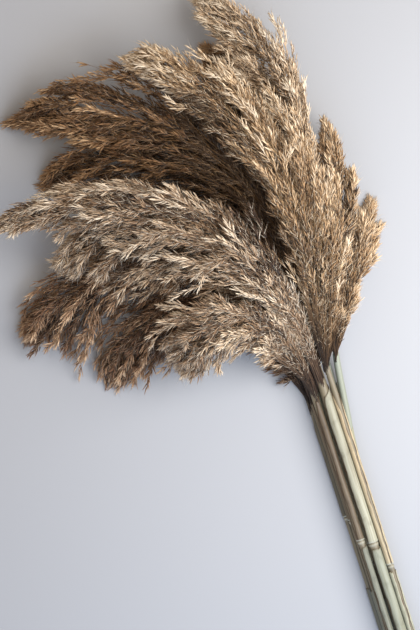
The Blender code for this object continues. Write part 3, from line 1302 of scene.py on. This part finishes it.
    def twig_paths(self, branches: Array, radial: Array, share: Array) -> tuple[Array, Array]:
        """Twigs set in a spiral along each branch, which curve back towards its run.

        At sigma a twig is at base + length * (sigma * outward + 0.4 *
        sigma^2 * (branch direction - outward)), plus a sag with sigma^2.

        Args:
            branches: (B, P, 3).
            radial: (B, P) how far out each branch point is.
            share: (B, P) its share along the plume.

        Returns:
            (T, P, 3) paths and (T,) how light each twig is, 0 to about 1.
        """
        rng, grow = self.rng, self.growth
        count, per = len(branches), grow.twigs
        place = 0.1 + 0.89 * ((np.arange(per) + rng.uniform(0, 1, (count, per))) / per) ** 0.8
        base, along = self.along_paths(branches, place)
        turn = GOLDEN * np.arange(per)[None] + rng.uniform(0, 6.28, (count, 1))
        angle = np.radians(grow.spread) * rng.uniform(0.45, 1.3, (count, per))
        angle = angle * (1.15 - 0.5 * place)
        near = self.past_neck(base)
        outward = self.off_axis(along, angle * (0.45 + 0.55 * near), turn)
        span = np.linalg.norm(branches[:, -1] - branches[:, 0], axis=-1)[:, None]
        length = np.minimum(grow.twig_length, 0.34 * span) * (1.1 - 0.6 * place)
        length = length * (0.4 + 0.6 * near) * rng.uniform(0.6, 1.2, (count, per))
        length = np.maximum(length, TWIG_LEAST)
        sigma = np.linspace(0, 1, TWIG_STEPS)[None, None, :, None]
        path = base[:, :, None] + length[..., None, None] * (
            sigma * outward[:, :, None] + 0.4 * sigma**2 * (along - outward)[:, :, None]
        )
        path[..., 2] -= 1.6 * near[..., None] * sigma[..., 0] ** 2
        at = np.round(place * (radial.shape[1] - 1)).astype(int)
        out = np.take_along_axis(radial, at, axis=1)
        run = np.take_along_axis(share, at, axis=1)
        # Painted shade: twigs deep inside the plume (small out) and near its base (by the growth's
        # shade) get darker tints. The tint is also darker near the neck and varies at random.
        light = 0.95 * out - 0.32 - grow.shade * np.clip(1 - run / 0.7, 0, 1) - 0.3 * (1 - near)
        light += rng.normal(0, 0.16, (count, 1)) + rng.normal(0, 0.07, (count, per))
        # Painted shade in the bunch's middle hollow.
        light -= 1.2 * self.hollow_shade(base)
        return lifted(path.reshape(-1, TWIG_STEPS, 3), LOWEST), light.ravel()

    @staticmethod
    def hollow_shade(places: Array) -> Array:
        """How much painted shade places get from the bunch's middle hollow: exp(-(distance /
        width)^2).
        """
        gap = places[..., None, :2] - SHADE_HOLLOW
        return np.exp(-(gap**2).sum(-1).min(-1) / SHADE_HOLLOW_WIDTH**2)

    def floret_lofts(self, twigs: Array, light: Array) -> list[Loft]:
        """Spikelets along the twigs, and silky hairs among them.

        Args:
            twigs: (T, P, 3) twig paths.
            light: (T,) how light each is.

        Returns:
            The spikelets' loft and the hairs' loft.
        """
        rng, grow = self.rng, self.growth
        count, per = len(twigs), grow.florets
        place = np.linspace(0.14, 1.0, per)[None] + rng.uniform(-0.06, 0.0, (count, per))
        base, along = self.along_paths(twigs, place)
        turn = np.pi * np.arange(per)[None] + rng.normal(0, 0.7, (count, per))
        turn = turn + rng.uniform(0, 6.28, (count, 1))
        near = self.past_neck(base)
        angle = np.radians(rng.uniform(6, 30, (count, per)))
        angle = angle * np.where(np.arange(per) == per - 1, 0.3, 1.0)
        heading = self.off_axis(along, angle * (0.4 + 0.6 * near), turn)
        length = rng.uniform(5.4, 9.0, (count, per)) * (1.25 - 0.25 * near)
        width = rng.uniform(0.36, 0.66, (count, per)) * (0.6 + 0.4 * near)
        low, high = grow.tints
        pale = 0.22 + 0.25 * place + light[:, None] + rng.normal(0, 0.1, (count, per))
        tint = low + (high - low) * np.clip(pale, 0, 1)
        base = base.reshape(-1, 3)
        step = self.above_table(base, (heading * length[..., None]).reshape(-1, 3))
        bend = rng.normal(0, 0.4, (count * per, 3))
        bend[:, 2] = np.abs(bend[:, 2])
        florets = spindles(base, step, bend, width.ravel(), FLORET, tint.ravel())

        chosen = rng.permutation(count * per)[: int(HAIR_SHARE * count * per)]
        hair_angle = np.radians(rng.uniform(12, 45, (count, per)))
        hair_heading = self.off_axis(along, hair_angle, turn + rng.normal(0, 1.2, (count, per)))
        hair_step = hair_heading * rng.uniform(7.0, 12.0, (count, per))[..., None]
        hair_tint = rng.uniform(0.91, 0.97, len(chosen))
        hair_step = self.above_table(base[chosen], hair_step.reshape(-1, 3)[chosen])
        hair_width = np.full(len(chosen), HAIR_WIDTH)
        hairs = spindles(base[chosen], hair_step, 2 * bend[chosen], hair_width, SILK, hair_tint)
        return [florets, hairs]

    @staticmethod
    def above_table(base: Array, along: Array) -> Array:
        """Turns each step up just enough that its end stays above the table."""
        low = np.maximum(LOWEST - (base[:, 2] + along[:, 2]), 0.0)
        return along + low[:, None] * np.array([0.0, 0.0, 1.0])

    def build(self) -> bpy.types.Object:
        """Grows the plume and gives it its finish.

        Returns:
            The plume's object.
        """
        branches, radial, share = self.branch_paths()
        twigs, light = self.twig_paths(branches, radial, share)
        lofts = [self.stalk(), self.collar()]
        for paths, thick, tints in (
            (branches, (0.36, 0.12), (0.01, 0.08)),
            (twigs, (0.16, 0.09), (0.02, 0.07)),
        ):
            radii = np.tile(np.linspace(*thick, paths.shape[1]), (len(paths), 1))
            lofts.append(tubes(paths[:, ::2], radii[:, ::2], 3, np.tile(tints, (len(paths), 1))))
        lofts += self.floret_lofts(twigs, light)
        number = f"{self.reed.number:02d}"
        piece = object_from(f"plume_fluff_{number}", lofts, self.finish.material())
        return place_piece(piece, f"plume_{number}")


GOLDEN_BROWN = FluffFinish(
    "fluff_golden_brown",
    (0.06, 0.029, 0.012),
    (0.42, 0.255, 0.13),
    (0.68, 0.49, 0.30),
    (0.90, 0.74, 0.53),
    (0.74, 0.60, 0.44),
    (0.34, 0.22, 0.11),
)
SILVER_BEIGE = FluffFinish(
    "fluff_silver_beige",
    (0.062, 0.034, 0.020),
    (0.37, 0.235, 0.138),
    (0.66, 0.505, 0.35),
    (0.90, 0.765, 0.58),
    (0.76, 0.655, 0.525),
    (0.30, 0.19, 0.11),
)
PALE_GOLD = FluffFinish(
    "fluff_pale_gold",
    (0.062, 0.033, 0.017),
    (0.42, 0.275, 0.16),
    (0.70, 0.53, 0.36),
    (0.94, 0.80, 0.61),
    (0.76, 0.64, 0.49),
    (0.34, 0.22, 0.12),
)
RED_BROWN = FluffFinish(
    "fluff_red_brown",
    (0.032, 0.015, 0.008),
    (0.20, 0.10, 0.052),
    (0.38, 0.225, 0.125),
    (0.60, 0.42, 0.27),
    (0.46, 0.32, 0.21),
    (0.20, 0.11, 0.05),
)
DARK_BROWN = FluffFinish(
    "fluff_dark_brown",
    (0.026, 0.011, 0.005),
    (0.20, 0.098, 0.04),
    (0.40, 0.23, 0.11),
    (0.66, 0.45, 0.26),
    (0.44, 0.29, 0.17),
    (0.22, 0.12, 0.05),
)

PLUME_LOOKS: dict[int, tuple[Growth, FluffFinish]] = {
    1: (
        Growth(80, nod=(-6, -3, -2), shade=0.15, tints=(0.12, 0.8), curl=4.5, ragged=10.0),
        SILVER_BEIGE,
    ),
    2: (
        Growth(104, nod=(-2, -8, -3), shade=0.05, tints=(0.12, 0.87), curl=3.5, ragged=5.0),
        SILVER_BEIGE,
    ),
    3: (
        Growth(100, nod=(-3, 3, -2), shade=0.5, tints=(0.25, 1.0), curl=2.5, ragged=8.0),
        GOLDEN_BROWN,
    ),
    4: (Growth(88, nod=(-4, -22, -3), tints=(0.1, 0.76), curl=3.5, ragged=10.0), SILVER_BEIGE),
    5: (Growth(114, nod=(-7, 4, -2), shade=0.95, tints=(0.1, 0.84), curl=2.5), DARK_BROWN),
    6: (
        Growth(100, nod=(-3, 3, -2), shade=0.3, tints=(0.28, 1.0), curl=2.5, ragged=8.0),
        PALE_GOLD,
    ),
    7: (
        Growth(84, nod=(-1, 0, 0), shade=0.35, tints=(0.13, 0.8), curl=3.0, ragged=6.0),
        GOLDEN_BROWN,
    ),
    8: (Growth(80, nod=(-8, -18, -2), curl=2.5, ragged=12.0), RED_BROWN),
    9: (Growth(88, nod=(-12, -18, -2), curl=2.5, tints=(0.12, 0.85)), RED_BROWN),
    10: (Growth(74, nod=(-8, -4, -2), shade=0.7, tints=(0.1, 0.75)), DARK_BROWN),
    11: (Growth(64, nod=(-4, 2, -2), shade=0.5), DARK_BROWN),
    12: (Growth(64, nod=(3, 2, 0), tints=(0.13, 0.78), curl=3.0), GOLDEN_BROWN),
}


# ---------------------------------------------------------------- studio


@dataclass(frozen=True)
class Studio:
    """The pale floor, the soft lights and the camera that looks straight down."""

    turn: float = 18.0
    height: float = 1195.0
    aim: tuple[float, float] = (-61.7, 72.9)
    lens: float = 93.9
    sensor: float = 36.0
    floor_reach: float = 12.0
    heart: Place = (-40.0, 60.0, 30.0)

    def place(self, x: float, y: float, z: float) -> Vector:
        """A place in metres from one counted in millimetres from the neck."""
        return Vector((x + NECK[0], y + NECK[1], z)) * MM

    def camera(self) -> None:
        """Sets the camera, turned so that the stems run down to the right."""
        angle = math.radians(self.turn)
        right = Vector((math.cos(angle), -math.sin(angle), 0))
        up = Vector((math.sin(angle), math.cos(angle), 0))
        data = bpy.data.cameras.new("camera")
        data.lens = self.lens
        data.sensor_width = self.sensor
        made = linked("camera", data)
        pose = Matrix((right, up, right.cross(up))).transposed().to_4x4()
        pose.translation = self.place(*self.aim, self.height)
        made.matrix_world = pose
        bpy.context.scene.camera = made

    def floor(self) -> None:
        """Lays a wide, level sheet just under the bunch."""
        mesh, size = bpy.data.meshes.new("floor"), self.floor_reach
        corners = [(-size, -size, 0), (size, -size, 0), (size, size, 0), (-size, size, 0)]
        mesh.from_pydata(corners, [], [(0, 1, 2, 3)])
        nodes = Nodes("floor_paint")
        nodes.shader.inputs["Base Color"].default_value = (0.33, 0.338, 0.362, 1)
        nodes.shader.inputs["Roughness"].default_value = 0.6
        mesh.materials.append(nodes.material)
        linked("floor", mesh)

    def lamp(self, name: str, spot: Place, size: float, power: float, colour: Colour) -> None:
        """Hangs a square soft lamp that faces the bunch.

        Args:
            name: its name.
            spot: its place, in millimetres from the neck and off the table.
            size: side in metres.
            power: in watts.
            colour: of its light.
        """
        data = bpy.data.lights.new(name, "AREA")
        data.size = size
        data.energy = power
        data.color = colour
        made = linked(name, data)
        made.location = self.place(*spot)
        towards = self.place(*self.heart) - made.location
        made.rotation_euler = towards.to_track_quat("-Z", "Y").to_euler()

    def build(self) -> None:
        """Sets up everything that isn't the bunch."""
        self.floor()
        self.camera()
        self.lamp("window", (330, -20, 480), 0.55, 7.1, (1.0, 0.995, 0.98))
        self.lamp("sky", (-100, -680, 600), 0.8, 6.0, (0.42, 0.66, 1.0))
        world = bpy.data.worlds.new("room")
        world.use_nodes = True
        back = world.node_tree.nodes["Background"]
        back.inputs["Color"].default_value = (1.0, 0.86, 0.72, 1)
        back.inputs["Strength"].default_value = 0.66
        bpy.context.scene.world = world
        bpy.context.scene.view_settings.view_transform = "Standard"


def main() -> None:
    """Builds the pieces in order and reports each."""
    logging.basicConfig(level=logging.INFO, format="%(name)s %(message)s")
    for reed in REEDS:
        look = STEM_LOOKS[reed.number]
        Culm(reed, look.culm).build()
        LeafSheath(reed, Level.LOWER, look.lower, tear=0.7, gape=5.0).build()
        LeafSheath(reed, Level.UPPER, look.upper, look.tear, look.gape).build()
        growth, finish = PLUME_LOOKS[reed.number]
        Plume(reed, growth, finish).build()
    Studio().build()


if __name__ == "__main__":
    main()
